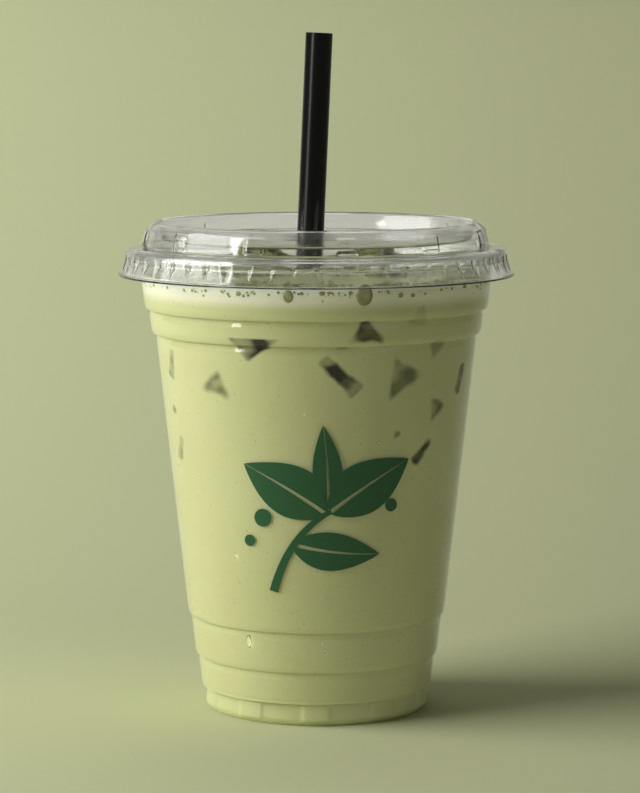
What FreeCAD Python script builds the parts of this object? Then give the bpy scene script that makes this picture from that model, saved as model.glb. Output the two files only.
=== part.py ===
import FreeCAD, Part
import math
import os

import Sketcher
from FreeCAD import Rotation, Vector

# An iced matcha latte in a stepped clear cup with a flat clear lid and a straight straw.
# Millimetres. The origin is the centre of the circle that the cup stands on, +Z is up,
# and the straw leans towards +X.

SIZES = {
    # cup
    "cup_height": 120.5,
    "rim_radius": 49.0,
    "foot_radius": 29.1,
    "cup_wall": 0.5,
    "curl_radius": 1.65,
    # foot: the ring that the cup stands on, and the pushed-up floor inside it
    "foot_height": 5.8,
    "foot_round": 1.8,
    "ring_width": 2.4,
    "punt_rise": 2.0,
    "punt_slope_width": 2.0,
    # panels pressed into the foot, which leave lugs between them
    "lug_count": 10.0,
    "lug_angle": 14.0,
    "lug_depth": 0.4,
    # steps of the wall: how far each stands out, how tall its slope is, and the straight
    # band above it
    "step_out": 0.68,
    "step_rise": 1.5,
    "low_band": 6.9,
    "middle_band": 9.1,
    "long_wall": 72.3,
    "collar_out": 1.06,
    "collar_rise": 1.7,
    "collar_band": 4.7,
    # lid
    "lid_wall": 0.4,
    "seat_gap": 0.2,
    "skirt_drop": 7.3,
    "skirt_flare": 1.35,
    "lip_width": 0.5,
    "bead_round": 1.7,
    "ridge_inset": 3.9,
    "shoulder_height": 4.8,
    "ridge_height": 6.5,
    "ridge_draft": 0.95,
    "shoulder_width": 1.7,
    "crown_width": 1.1,
    "well_depth": 4.5,
    "well_draft": 1.4,
    # lugs inside the skirt that snap under the cup's curl, and ribs on the ridge that keep
    # stacked lids apart
    "snap_count": 54.0,
    "snap_angle": 2.6,
    "snap_depth": 0.35,
    "snap_height": 1.8,
    "rib_count": 12.0,
    "rib_angle": 4.0,
    "rib_depth": 0.5,
    # slot for the straw: a round hole with two crossed slits
    "slot_gap": 0.3,
    "slit_length": 15.0,
    "slit_width": 0.5,
    # straw
    "straw_radius": 3.5,
    "straw_wall": 0.3,
    "straw_length": 173.5,
    "straw_lean": 2.53,
    "straw_slot_place": -1.6,
    "straw_rest_gap": 0.1,
    # drink
    "head_space": 7.4,
    "drink_gap": 0.1,
    "straw_clearance": 0.1,
    # lumps of ice that float through the surface
    "ice_length": 18.5,
    "ice_width": 16.5,
    "ice_depth": 15.0,
    "ice_taper": 0.8,
    "ice_edge": 3.0,
    "left_ice_straw_gap": 0.3,
    "left_ice_lid_gap": 0.2,
    "left_ice_back": 3.0,
    "right_ice_straw_gap": 1.6,
    "right_ice_lid_gap": 0.3,
    "right_ice_back": 3.0,
}

SHEET = "sizes"


class Size:
    """A length that holds its number and the sheet expression that it follows."""

    def __init__(self, number, text):
        self.number = float(number)
        self.text = text

    def joined(self, other, sign, number):
        text = other.text if isinstance(other, Size) else repr(float(other))
        return Size(number, f"({self.text} {sign} {text})")

    def __add__(self, other):
        return self.joined(other, "+", self.number + number_of(other))

    def __sub__(self, other):
        return self.joined(other, "-", self.number - number_of(other))

    def __mul__(self, other):
        return self.joined(other, "*", self.number * number_of(other))

    def __truediv__(self, other):
        return self.joined(other, "/", self.number / number_of(other))


def number_of(length):
    return length.number if isinstance(length, Size) else float(length)


def text_of(length):
    return length.text if isinstance(length, Size) else repr(float(length))


def size(alias):
    return Size(SIZES[alias], f"{SHEET}.{alias}")


def make_sheet(doc):
    """Spreadsheet with one plain number and one alias to each row."""
    sheet = doc.addObject("Spreadsheet::Sheet", SHEET)
    for row, (alias, number) in enumerate(SIZES.items(), start=1):
        sheet.set(f"A{row}", alias)
        sheet.set(f"B{row}", str(number))
        sheet.setAlias(f"B{row}", alias)
    doc.recompute()
    return sheet


# ---- sketch helpers ---------------------------------------------------------------------

def new_body(doc, label):
    body = doc.addObject("PartDesign::Body", label)
    body.Label = label
    return body


def new_sketch(body, name, role):
    """Empty sketch on one of the body's own origin planes."""
    plane = next(o for o in body.Origin.OriginFeatures if o.Role == role)
    sketch = body.newObject("Sketcher::SketchObject", name)
    sketch.AttachmentSupport = (plane, [""])
    sketch.MapMode = "FlatFace"
    return sketch


def corner(across, up, arc_radius=None, bulge=None):
    """Corner of an outline. With arc_radius the line on to the next corner is an arc, and
    bulge is a rough point on it, which picks its side."""
    return across, up, arc_radius, bulge


def pin(sketch, geometry, end, across, up):
    """Ties one end of a line or arc to two expressions."""
    for kind, length in (("DistanceX", across), ("DistanceY", up)):
        if isinstance(length, Size):
            number = sketch.addConstraint(
                Sketcher.Constraint(kind, -1, 1, geometry, end, length.number)
            )
            sketch.setExpression(f"Constraints[{number}]", length.text)
        else:
            axis = -2 if kind == "DistanceX" else -1
            sketch.addConstraint(Sketcher.Constraint("PointOnObject", geometry, end, axis))


def draw_outline(sketch, corners):
    """Closed outline through the corners. A plain 0 puts a corner on the sketch's axis."""
    points = [Vector(number_of(a), number_of(u), 0) for a, u, _, _ in corners]
    first = sketch.GeometryCount
    ends = []
    for here, (_, _, arc_radius, bulge) in enumerate(corners):
        start = points[here]
        finish = points[(here + 1) % len(points)]
        if arc_radius is None:
            sketch.addGeometry(Part.LineSegment(start, finish), False)
            ends.append((1, 2))
        else:
            middle = Vector(number_of(bulge[0]), number_of(bulge[1]), 0)
            sketch.addGeometry(Part.Arc(start, middle, finish), False)
            # an arc always runs anticlockwise in a sketch
            anticlockwise = (middle - start).cross(finish - middle).z > 0
            ends.append((1, 2) if anticlockwise else (2, 1))
    for here, (across, up, arc_radius, _) in enumerate(corners):
        line = first + here
        before = first + (here - 1) % len(corners)
        pin(sketch, line, ends[here][0], across, up)
        sketch.addConstraint(
            Sketcher.Constraint("Coincident", before, ends[here - 1][1], line, ends[here][0])
        )
        if arc_radius is not None:
            number = sketch.addConstraint(
                Sketcher.Constraint("Radius", line, arc_radius.number)
            )
            sketch.setExpression(f"Constraints[{number}]", arc_radius.text)


def revolve(body, sketch, name, angle=None):
    """Turns a sketch about the body's upright axis: right round, or by an angle that is
    centred on the sketch."""
    turned = body.newObject("PartDesign::Revolution", name)
    turned.Profile = sketch
    turned.ReferenceAxis = (sketch, ["V_Axis"])
    turned.Angle = 360
    if angle is not None:
        turned.Midplane = True
        turned.setExpression("Angle", angle.text)
    return turned


def pattern_round(body, feature, name, count):
    """Repeats a feature evenly round the body's upright axis."""
    upright = next(o for o in body.Origin.OriginFeatures if o.Role == "Z_Axis")
    pattern = body.newObject("PartDesign::PolarPattern", name)
    pattern.Originals = [feature]
    pattern.Axis = (upright, [""])
    pattern.Angle = 360
    pattern.setExpression("Occurrences", count.text)
    body.Tip = pattern
    return pattern


# ---- cup --------------------------------------------------------------------------------

def cup_steps():
    """Heights and radii of the wall's outside, as (height, radius) corners from the top of
    the foot to the neck under the curl. The wall opens by the same taper all the way, each
    step adds to it, and the first one also covers the foot's lugs."""
    foot = size("foot_height")
    neck_height = size("cup_height") - size("curl_radius")
    neck_radius = size("rim_radius") - size("curl_radius") * 2 + size("cup_wall")
    steps_out = size("lug_depth") + size("step_out") * 3 + size("collar_out") * 2
    taper = (neck_radius - size("foot_radius") - steps_out) / (neck_height - foot)
    height = foot
    radius = size("foot_radius")
    corners = [(height, radius)]
    low_step = size("step_out")
    collar = size("collar_out")
    rises = [
        (size("step_rise"), low_step + size("lug_depth"), size("low_band")),
        (size("step_rise"), low_step, size("middle_band")),
        (size("step_rise"), low_step, size("long_wall")),
        (size("collar_rise"), collar, size("collar_band")),
        (size("collar_rise"), collar, None),
    ]
    for rise, out, band in rises:
        height = height + rise
        radius = radius + taper * rise + out
        corners.append((height, radius))
        if band is not None:
            height = height + band
            radius = radius + taper * band
            corners.append((height, radius))
    corners.append((neck_height, neck_radius))
    return corners


def foot_corners():
    """Underside of the cup from the axis to the top of the foot: pushed-up floor, stand
    ring and rounded foot."""
    ring_outside = size("foot_radius") - size("foot_round")
    ring_inside = ring_outside - size("ring_width")
    floor_edge = ring_inside - size("punt_slope_width")
    rise = size("punt_rise")
    round_middle = (
        size("foot_radius") - size("foot_round") * 0.293,
        size("foot_round") * 0.293,
    )
    return [
        corner(0, rise),
        corner(floor_edge, rise),
        corner(ring_inside, 0),
        corner(ring_outside, 0, size("foot_round"), round_middle),
        corner(size("foot_radius"), size("foot_round")),
    ]


def cup_floor():
    """Height of the floor's upper side."""
    return size("punt_rise") + size("cup_wall")


def inside_corners(gap):
    """Corners of the cup's inside, from the neck down to the floor's edge, drawn in by a
    gap."""
    inset = size("cup_wall") + gap
    return [(height, radius - inset) for height, radius in reversed(cup_steps())]


def make_cup(doc):
    """Stepped wall of even thickness, with a curled rim and a lugged foot."""
    body = new_body(doc, "cup")
    sketch = new_sketch(body, "cup_section", "XZ_Plane")
    curl = size("curl_radius")
    wall = size("cup_wall")
    curl_middle = size("rim_radius") - curl
    curl_height = size("cup_height") - curl
    inner_curl = curl - wall
    foot = foot_corners()
    outside = cup_steps()
    corners = foot + [corner(radius, height) for height, radius in outside[:-1]]
    # the curl: up inside the neck, over the rim and half way back under it
    neck_outside = curl_middle - inner_curl
    corners.append(
        corner(neck_outside, curl_height, inner_curl,
               (curl_middle + inner_curl * 0.707, curl_height + inner_curl * 0.707))
    )
    corners.append(corner(curl_middle, curl_height - inner_curl))
    corners.append(
        corner(curl_middle, curl_height - curl, curl,
               (curl_middle + curl * 0.707, curl_height + curl * 0.707))
    )
    inside = inside_corners(0)
    corners += [corner(radius, height) for height, radius in inside]
    corners.append(corner(size("foot_radius") - wall, cup_floor()))
    corners.append(corner(0, cup_floor()))
    draw_outline(sketch, corners)
    revolve(body, sketch, "cup_wall_turned")
    add_foot_lugs(body)
    return body


def add_foot_lugs(body):
    """Lugs that stand out of the foot band, level with the step above it."""
    sketch = new_sketch(body, "lug_section", "YZ_Plane")
    inner = size("foot_radius") - size("cup_wall") / 2
    outer = size("foot_radius") + size("lug_depth")
    low = size("foot_round")
    high = size("foot_height")
    draw_outline(sketch, [
        corner(inner, low),
        corner(outer, low + size("lug_depth")),
        corner(outer, high),
        corner(inner, high),
    ])
    lug = revolve(body, sketch, "lug", size("lug_angle"))
    pattern_round(body, lug, "lugs", size("lug_count"))


# ---- lid --------------------------------------------------------------------------------

def panel_top():
    """Height of the upper side of the lid's sunk middle."""
    flange_top = size("cup_height") + size("seat_gap") + size("lid_wall")
    return flange_top + size("ridge_height") - size("well_depth")


def make_lid(doc):
    """Clear lid of even thickness: flared skirt, bead over the cup's curl, flange, hollow
    ridge and sunk middle with the straw's slot."""
    body = new_body(doc, "lid")
    sketch = new_sketch(body, "lid_section", "XZ_Plane")
    wall = size("lid_wall")
    flange_under = size("cup_height") + size("seat_gap")
    flange_top = flange_under + wall
    bead_inside = size("rim_radius") + size("seat_gap")
    bead_outside = bead_inside + wall
    bead = size("bead_round")
    skirt_low = flange_top - size("skirt_drop")
    skirt_outside = bead_outside + size("skirt_flare")
    ridge_foot = size("rim_radius") - size("ridge_inset")
    shoulder = ridge_foot - size("ridge_draft")
    crown_outside = shoulder - size("shoulder_width")
    crown_inside = crown_outside - size("crown_width")
    well_edge = crown_inside - size("well_draft")
    shoulder_up = flange_top + size("shoulder_height")
    crown_up = flange_top + size("ridge_height")
    panel = panel_top()
    over = [
        corner(0, panel),
        corner(well_edge, panel),
        corner(crown_inside, crown_up),
        corner(crown_outside, crown_up),
        corner(shoulder, shoulder_up),
        corner(ridge_foot, flange_top),
        corner(bead_outside - bead, flange_top, bead,
               (bead_outside - bead * 0.293, flange_top - bead * 0.293)),
        corner(bead_outside, flange_top - bead),
        corner(bead_outside + wall * 0.3, flange_top - bead * 2),
        corner(skirt_outside, skirt_low + wall),
        corner(skirt_outside + size("lip_width"), skirt_low + wall),
    ]
    bead_under = bead - wall
    under = [
        corner(skirt_outside + size("lip_width"), skirt_low),
        corner(skirt_outside - wall, skirt_low),
        corner(bead_inside + wall * 0.3, flange_top - bead * 2),
        corner(bead_inside, flange_top - bead, bead_under,
               (bead_inside - bead_under * 0.293, flange_under - bead_under * 0.293)),
        corner(bead_inside - bead_under, flange_under),
        corner(ridge_foot - wall, flange_under),
        corner(shoulder - wall, shoulder_up - wall * 0.4),
        corner(crown_outside - wall * 0.3, crown_up - wall),
        corner(crown_inside + wall * 0.7, crown_up - wall),
        corner(well_edge + wall * 0.7, panel - wall),
        corner(0, panel - wall),
    ]
    draw_outline(sketch, over + under)
    revolve(body, sketch, "lid_shell")
    add_snaps(body, flange_top - bead * 2, bead_inside)
    add_ribs(body, flange_top, ridge_foot, shoulder, shoulder_up)
    cut_slot(body, panel)
    return body


def add_snaps(body, high, radius):
    """Small lugs inside the skirt, under the cup's curl."""
    sketch = new_sketch(body, "snap_section", "XZ_Plane")
    low = high - size("snap_height")
    outer = radius + size("lid_wall") * 0.6
    draw_outline(sketch, [
        corner(outer, low),
        corner(outer, high),
        corner(radius - size("snap_depth") * 0.2, high),
        corner(radius - size("snap_depth"), high - size("snap_height") * 0.4),
    ])
    snap = revolve(body, sketch, "snap", size("snap_angle"))
    pattern_round(body, snap, "snaps", size("snap_count"))


def add_ribs(body, low, ridge_foot, shoulder, high):
    """Upright ribs on the outside of the ridge."""
    sketch = new_sketch(body, "rib_section", "XZ_Plane")
    inward = size("lid_wall") / 2
    draw_outline(sketch, [
        corner(ridge_foot - inward, low - inward),
        corner(ridge_foot + size("rib_depth"), low - inward),
        corner(shoulder + size("rib_depth"), high - size("rib_depth")),
        corner(shoulder - inward, high - inward),
    ])
    rib = revolve(body, sketch, "rib", size("rib_angle"))
    pattern_round(body, rib, "ribs", size("rib_count"))


def cut_slot(body, panel):
    """Hole and crossed slits, cut down through the sunk middle."""
    sketch = new_sketch(body, "slot_outline", "XY_Plane")
    place = size("straw_slot_place")
    hole = size("straw_radius") + size("slot_gap")
    half_length = size("slit_length") / 2
    half_width = size("slit_width") / 2
    sketch.setExpression("AttachmentOffset.Base.z", panel.text)
    circle = sketch.addGeometry(
        Part.Circle(Vector(place.number, 0, 0), Vector(0, 0, 1), hole.number), False
    )
    radius = sketch.addConstraint(Sketcher.Constraint("Radius", circle, hole.number))
    sketch.setExpression(f"Constraints[{radius}]", hole.text)
    pin(sketch, circle, 3, place, 0)
    cut = body.newObject("PartDesign::Pocket", "slot_hole")
    cut.Profile = sketch
    cut.setExpression("Length", (size("lid_wall") * 2).text)
    for name, along, across in (
        ("slit_long", half_length, half_width),
        ("slit_cross", half_width, half_length),
    ):
        slit_sketch = new_sketch(body, name + "_outline", "XY_Plane")
        slit_sketch.setExpression("AttachmentOffset.Base.z", panel.text)
        draw_outline(slit_sketch, [
            corner(place - along, across),
            corner(place + along, across),
            corner(place + along, across * -1),
            corner(place - along, across * -1),
        ])
        slit = body.newObject("PartDesign::Pocket", name)
        slit.Profile = slit_sketch
        slit.setExpression("Length", (size("lid_wall") * 2).text)


# ---- straw ------------------------------------------------------------------------------

def straw_slope():
    """How far across the straw goes for each millimetre up."""
    lean = size("straw_lean")
    return Size(math.tan(math.radians(lean.number)), f"tan({lean.text})")


def straw_foot():
    """Height and distance across of the middle of the straw's lower end. Its low edge
    rests on the cup's floor, and it leans through the slot."""
    lean = size("straw_lean")
    lean_sine = Size(math.sin(math.radians(lean.number)), f"sin({lean.text})")
    up = cup_floor() + size("straw_rest_gap") + size("straw_radius") * lean_sine
    middle_of_panel = panel_top() - size("lid_wall") / 2
    across = size("straw_slot_place") - (middle_of_panel - up) * straw_slope()
    return across, up


def stand_as_straw(thing):
    """Places a thing whose axis is +Z along the straw."""
    across, up = straw_foot()
    thing.Placement = FreeCAD.Placement(
        Vector(across.number, 0, up.number),
        Rotation(Vector(0, 1, 0), SIZES["straw_lean"]),
    )
    thing.setExpression("Placement.Base.x", across.text)
    thing.setExpression("Placement.Base.z", up.text)
    thing.setExpression("Placement.Rotation.Angle", f"{SHEET}.straw_lean")


def make_straw(doc):
    """Straight tube."""
    body = new_body(doc, "straw")
    sketch = new_sketch(body, "straw_section", "XY_Plane")
    for radius in (size("straw_radius"), size("straw_radius") - size("straw_wall")):
        circle = sketch.addGeometry(
            Part.Circle(Vector(0, 0, 0), Vector(0, 0, 1), radius.number), False
        )
        sketch.addConstraint(Sketcher.Constraint("Coincident", circle, 3, -1, 1))
        number = sketch.addConstraint(Sketcher.Constraint("Radius", circle, radius.number))
        sketch.setExpression(f"Constraints[{number}]", radius.text)
    tube = body.newObject("PartDesign::Pad", "straw_tube")
    tube.Profile = sketch
    tube.setExpression("Length", size("straw_length").text)
    stand_as_straw(body)
    return body


# ---- ice and drink ----------------------------------------------------------------------

def drink_level():
    return size("cup_height") - size("head_space")


def ice_reach(turn, way):
    """How far a turned lump reaches from its middle along a direction: a block's half
    sizes less the edge rounding, each by its share of the direction, plus the rounding."""
    along = turn.inverted().multVec(way)
    reach = size("ice_edge")
    for alias, share in (("ice_length", along.x), ("ice_depth", along.y), ("ice_width", along.z)):
        reach = reach + (size(alias) / 2 - size("ice_edge")) * abs(share)
    return reach


def straw_middle(height):
    """Distance across of the straw's axis at a height."""
    across, up = straw_foot()
    return across + (height - up) * straw_slope()


def make_ice(doc, label, side, turn):
    """Melted cube: a block that narrows a little, with well rounded edges, turned so that
    a corner is up. It floats beside the straw and under the lid, clear of both. side is
    -1 for the left of the straw and 1 for the right."""
    body = new_body(doc, label)
    block = body.newObject("PartDesign::AdditiveWedge", label + "_block")
    half_length = size("ice_length") / 2
    half_width = size("ice_width") / 2
    half_depth = size("ice_depth") / 2
    taper = size("ice_taper")
    for name, length in {
        "Xmin": half_length * -1,
        "Xmax": half_length,
        "Ymin": half_depth * -1,
        "Ymax": half_depth,
        "Zmin": half_width * -1,
        "Zmax": half_width,
        "X2min": half_length * -1 + taper,
        "X2max": half_length - taper,
        "Z2min": half_width * -1 + taper,
        "Z2max": half_width - taper,
    }.items():
        setattr(block, name, length.number)
        block.setExpression(name, length.text)
    doc.recompute()
    edges = body.newObject("PartDesign::Fillet", label + "_edges")
    edges.Base = (block, [""])
    edges.UseAllEdges = True
    edges.setExpression("Radius", size("ice_edge").text)
    place = "left_ice" if side < 0 else "right_ice"
    lid_under = panel_top() - size("lid_wall")
    up = lid_under - size(place + "_lid_gap") - ice_reach(turn, Vector(0, 0, 1))
    beside = size("straw_radius") + size(place + "_straw_gap") + ice_reach(turn, Vector(1, 0, 0))
    across = straw_middle(up) + beside * side
    back = size(place + "_back")
    body.Placement = FreeCAD.Placement(Vector(across.number, back.number, up.number), turn)
    body.setExpression("Placement.Base.x", across.text)
    body.setExpression("Placement.Base.y", back.text)
    body.setExpression("Placement.Base.z", up.text)
    return body


def turned(about_up, about_back, about_right):
    """Rotation by three angles in degrees, the last one made first."""
    turn = Rotation(Vector(0, 0, 1), about_up) * Rotation(Vector(0, 1, 0), about_back)
    return turn * Rotation(Vector(1, 0, 0), about_right)


def make_drink(doc, lumps):
    """Fills the cup's inside up to the level, cut round the straw and the ice."""
    body = new_body(doc, "drink_fill")
    sketch = new_sketch(body, "drink_section", "XZ_Plane")
    gap = size("drink_gap")
    level = drink_level()
    below = [pair for pair in inside_corners(gap) if pair[0].number < level.number]
    above = [pair for pair in inside_corners(gap) if pair[0].number >= level.number][-1]
    first = below[0]
    slope = (above[1] - first[1]) / (above[0] - first[0])
    surface_radius = first[1] + (level - first[0]) * slope
    floor = cup_floor() + gap
    corners = [corner(0, level), corner(surface_radius, level)]
    corners += [corner(radius, height) for height, radius in below]
    corners.append(corner(size("foot_radius") - size("cup_wall") - gap, floor))
    corners.append(corner(0, floor))
    draw_outline(sketch, corners)
    revolve(body, sketch, "drink_turned")

    path = doc.addObject("Part::Cylinder", "straw_path")
    path.setExpression("Radius", (size("straw_radius") + size("straw_clearance")).text)
    path.setExpression("Height", size("straw_length").text)
    stand_as_straw(path)

    drink = body
    for tool in [path] + lumps:
        cut = doc.addObject("Part::Cut", "drink_round_" + tool.Name)
        cut.Base = drink
        cut.Tool = tool
        drink = cut
    drink.Label = "drink"
    return drink


# ---- document ---------------------------------------------------------------------------

def check_document(doc, parts):
    """Stops on any failed object, and on any sub-part without one valid solid."""
    for thing in doc.Objects:
        if "Invalid" in thing.State or "Error" in thing.State:
            raise RuntimeError(f"{thing.Name} failed: {thing.State}")
    for part in parts:
        shape = part.Shape
        if shape.isNull() or not shape.isValid():
            raise RuntimeError(f"{part.Label} has no valid shape")
        if len(shape.Solids) != 1:
            raise RuntimeError(f"{part.Label} has {len(shape.Solids)} solids")


def main():
    doc = FreeCAD.newDocument("matcha_latte")
    make_sheet(doc)
    lumps = [
        make_ice(doc, "ice_left", -1, turned(40, -30, 35)),
        make_ice(doc, "ice_right", 1, turned(-22, -24, 42)),
    ]
    parts = [make_cup(doc), make_lid(doc), make_straw(doc)] + lumps
    parts.append(make_drink(doc, lumps))
    doc.recompute()
    check_document(doc, parts)
    os.makedirs("parts", exist_ok=True)
    for part in parts:
        part.Shape.exportStep(os.path.join("parts", part.Label + ".step"))
        box = part.Shape.BoundBox
        print(f"{part.Label}: {part.Shape.Volume:.1f} mm3, "
              f"x {box.XMin:.2f} {box.XMax:.2f}, y {box.YMin:.2f} {box.YMax:.2f}, "
              f"z {box.ZMin:.2f} {box.ZMax:.2f}, faces {len(part.Shape.Faces)}")


main()
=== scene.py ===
import math

import bpy
import numpy as np
from mathutils import Euler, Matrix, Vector


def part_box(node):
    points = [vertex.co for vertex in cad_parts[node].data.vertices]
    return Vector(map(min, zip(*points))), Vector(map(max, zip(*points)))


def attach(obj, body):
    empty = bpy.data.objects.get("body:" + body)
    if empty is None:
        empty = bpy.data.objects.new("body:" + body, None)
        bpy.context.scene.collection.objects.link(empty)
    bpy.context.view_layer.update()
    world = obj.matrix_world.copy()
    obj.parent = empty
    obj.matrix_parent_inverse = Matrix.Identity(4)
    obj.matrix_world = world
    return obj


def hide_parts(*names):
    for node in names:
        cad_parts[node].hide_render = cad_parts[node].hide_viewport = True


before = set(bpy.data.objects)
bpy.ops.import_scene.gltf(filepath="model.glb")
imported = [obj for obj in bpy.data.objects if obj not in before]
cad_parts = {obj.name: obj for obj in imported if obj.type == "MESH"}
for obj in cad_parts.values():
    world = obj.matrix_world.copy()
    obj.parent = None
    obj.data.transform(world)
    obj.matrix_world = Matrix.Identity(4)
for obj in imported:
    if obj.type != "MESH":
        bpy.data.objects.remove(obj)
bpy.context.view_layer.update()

# An iced matcha latte in a stepped clear cup with a flat clear lid and a black straw.
# Sizes here are in millimetres, with the cup standing on z = 0 and -Y towards the viewer.
# Angles go round from the front, positive to the viewer's right. Widths of noise and depths
# of relief in materials are in metres.
MM = 0.001
TURN = 2 * math.pi


def low_high(node):
    """Lowest and highest corner of a CAD node, in millimetres."""
    low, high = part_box(node)
    return np.array(low) / MM, np.array(high) / MM


# ---- sizes --------------------------------------------------------------------------

CUP_HEIGHT = low_high("cup")[1][2]
RIM_RADIUS = low_high("cup")[1][0]
CUP_WALL = 0.5
CURL_RADIUS = 1.65
FOOT_RADIUS = 29.1
FOOT_HEIGHT = 5.8
FOOT_ROUND = 1.8
RING_WIDTH = 2.4
PUNT_RISE = 2.0
PUNT_SLOPE = 2.0
RING_OUTSIDE = FOOT_RADIUS - FOOT_ROUND
RING_INSIDE = RING_OUTSIDE - RING_WIDTH
LUG_COUNT = 10
LUG_ANGLE = 14.0
LUG_DEPTH = 0.4
STEP_OUT, STEP_RISE = 0.68, 1.5
COLLAR_OUT, COLLAR_RISE = 1.06, 1.7
LEDGE_RISE, LEDGE_OUT = 0.3, 0.86   # the ledge's height, and its share of the step
UNDERCUT = 0.38
BAND_ROUND = 1.7
BANDS = (6.9, 9.1, 72.3, 4.7)

LID_WALL = 0.4
LID_GAP = 0.2
FLANGE_TOP = CUP_HEIGHT + LID_GAP + LID_WALL
SKIRT_DROP = 7.3
BEAD_ROUND = 1.7
SHOULDER_HEIGHT = 4.8
RIDGE_HEIGHT = 6.5
WELL_DEPTH = 4.5
LEVEL = 113.1
INTO_WALL = 0.12          # how far the drink reaches into the cup's wall


# ---- mesh helpers -------------------------------------------------------------------

def soften(corners, reach, steps=4):
    """Polyline through the corners, each inner corner replaced by a quadratic curve that
    starts and ends at a distance of reach from it, or at 0.45 of a shorter side."""
    p = np.asarray(corners, float)
    before, here, after = p[:-2], p[1:-1], p[2:]

    def towards(goal):
        way = goal - here
        length = np.linalg.norm(way, axis=1, keepdims=True)
        return here + way * np.minimum(reach / length, 0.45)

    t = np.linspace(0, 1, steps)[None, :, None]
    start, end = towards(before)[:, None], towards(after)[:, None]
    curve = (1 - t) ** 2 * start + 2 * t * (1 - t) * here[:, None] + t ** 2 * end
    return np.vstack([p[:1], curve.reshape(-1, 2), p[-1:]])


def filled(line, spacing):
    """The same polyline with points added, evenly on each side, so that no two are further
    apart than spacing."""
    line = np.asarray(line, float)
    sides = np.diff(line, axis=0)
    counts = np.maximum(1, np.ceil(np.linalg.norm(sides, axis=1) / spacing)).astype(int)
    side = np.repeat(np.arange(len(counts)), counts)
    first = np.repeat(np.cumsum(counts) - counts, counts)
    share = (np.arange(counts.sum()) - first) / np.repeat(counts, counts)
    return np.vstack([line[side] + sides[side] * share[:, None], line[-1:]])


def arc(middle, radius, start, finish, count):
    """Points on a circle from one angle to another, in degrees."""
    a = np.radians(np.linspace(start, finish, count))
    return np.stack([middle[0] + radius * np.cos(a), middle[1] + radius * np.sin(a)], axis=1)


def smooth_step(x):
    """0 below 0, 1 above 1, and 3x^2 - 2x^3 between."""
    x = np.clip(x, 0, 1)
    return x * x * (3 - 2 * x)


def ripples(x, y, z, wavelength, seed, waves=7):
    """Sum of sine waves in random directions, with wavelengths from 0.6 to 1.6 of the one
    given, scaled to about -1 to 1."""
    rng = np.random.default_rng(seed)
    total = 0.0
    for _ in range(waves):
        way = rng.normal(size=3)
        way *= TURN / (wavelength * rng.uniform(0.6, 1.6) * np.linalg.norm(way))
        total = total + np.sin(way[0] * x + way[1] * y + way[2] * z + rng.uniform(0, TURN))
    return total / math.sqrt(waves * 2)


def quads(rows, columns, wrap_rows=False, wrap_columns=True, start=0):
    """Corner numbers of the quads over a grid whose points are numbered row by row."""
    i = np.arange(rows if wrap_rows else rows - 1)[:, None]
    j = np.arange(columns if wrap_columns else columns - 1)[None, :]
    up, right = (i + 1) % rows, (j + 1) % columns
    at = np.stack(
        [i * columns + j, i * columns + right, up * columns + right, up * columns + j], -1
    )
    return at.reshape(-1, 4) + start


def piece_from(name, points, faces, *materials):
    """Smooth mesh object from points in millimetres and lists of faces."""
    mesh = bpy.data.meshes.new(name)
    lists = [f for part in faces for f in np.asarray(part).tolist()]
    mesh.from_pydata((np.asarray(points).reshape(-1, 3) * MM).tolist(), [], lists)
    for material in materials:
        mesh.materials.append(material)
    mesh.shade_smooth()
    mesh.update()
    piece = bpy.data.objects.new(name, mesh)
    bpy.context.scene.collection.objects.link(piece)
    return piece


def turned_piece(name, x, y, z, closed, *materials):
    """Piece over a grid of rings. closed is "poles" where the first and last ring shrink
    to one point each, or "loop" where the last ring joins the first."""
    rows, columns = z.shape
    points = np.stack([x, y, z], -1)
    if closed == "loop":
        return piece_from(name, points, [quads(rows, columns, wrap_rows=True)], *materials)
    inner = points[1:-1]
    ends = np.stack([points[0].mean(0), points[-1].mean(0)])
    count = inner.shape[0] * columns
    j = np.arange(columns)
    right = (j + 1) % columns
    last = count - columns
    low_fan = np.stack([np.full(columns, count), right, j], 1)
    high_fan = np.stack([np.full(columns, count + 1), last + j, last + right], 1)
    everything = np.vstack([inner.reshape(-1, 3), ends])
    return piece_from(
        name, everything, [quads(rows - 2, columns), low_fan, high_fan], *materials
    )


def around(columns):
    """Angles of evenly spaced columns, from the front towards the viewer's right."""
    return np.arange(columns) * TURN / columns


def on_ring(radius, angle):
    """x and y at a radius and an angle from the front."""
    return radius * np.sin(angle), -radius * np.cos(angle)


# ---- material helpers -----------------------------------------------------------------

def linear(hex_colour):
    """Linear RGBA of an sRGB hex colour, by the sRGB curve."""
    value = hex_colour.lstrip("#")
    srgb = np.array([int(value[i:i + 2], 16) for i in (0, 2, 4)]) / 255
    low = srgb / 12.92
    high = ((srgb + 0.055) / 1.055) ** 2.4
    return (*np.where(srgb <= 0.04045, low, high).tolist(), 1.0)


def new_material(name):
    """Material with only an output node, and its node tree."""
    material = bpy.data.materials.new(name)
    material.use_nodes = True
    tree = material.node_tree
    tree.nodes.clear()
    tree.nodes.new("ShaderNodeOutputMaterial")
    return material, tree


def add(tree, kind, settings=None, **inputs):
    """Adds a node. settings are its properties; inputs are its sockets by name, or in0, in1
    by number, each given a value or another node's output socket."""
    node = tree.nodes.new(kind)
    for key, value in (settings or {}).items():
        setattr(node, key, value)
    for key, value in inputs.items():
        if key[:2] == "in" and key[2:].isdigit():
            socket = node.inputs[int(key[2:])]
        else:
            socket = node.inputs[key.replace("_", " ")]
        if isinstance(value, bpy.types.NodeSocket):
            tree.links.new(value, socket)
        else:
            socket.default_value = value
    return node


def number(tree, operation, *values):
    """Result of a math node on values or sockets."""
    inputs = {f"in{i}": value for i, value in enumerate(values)}
    return add(tree, "ShaderNodeMath", {"operation": operation}, **inputs).outputs[0]


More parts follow.
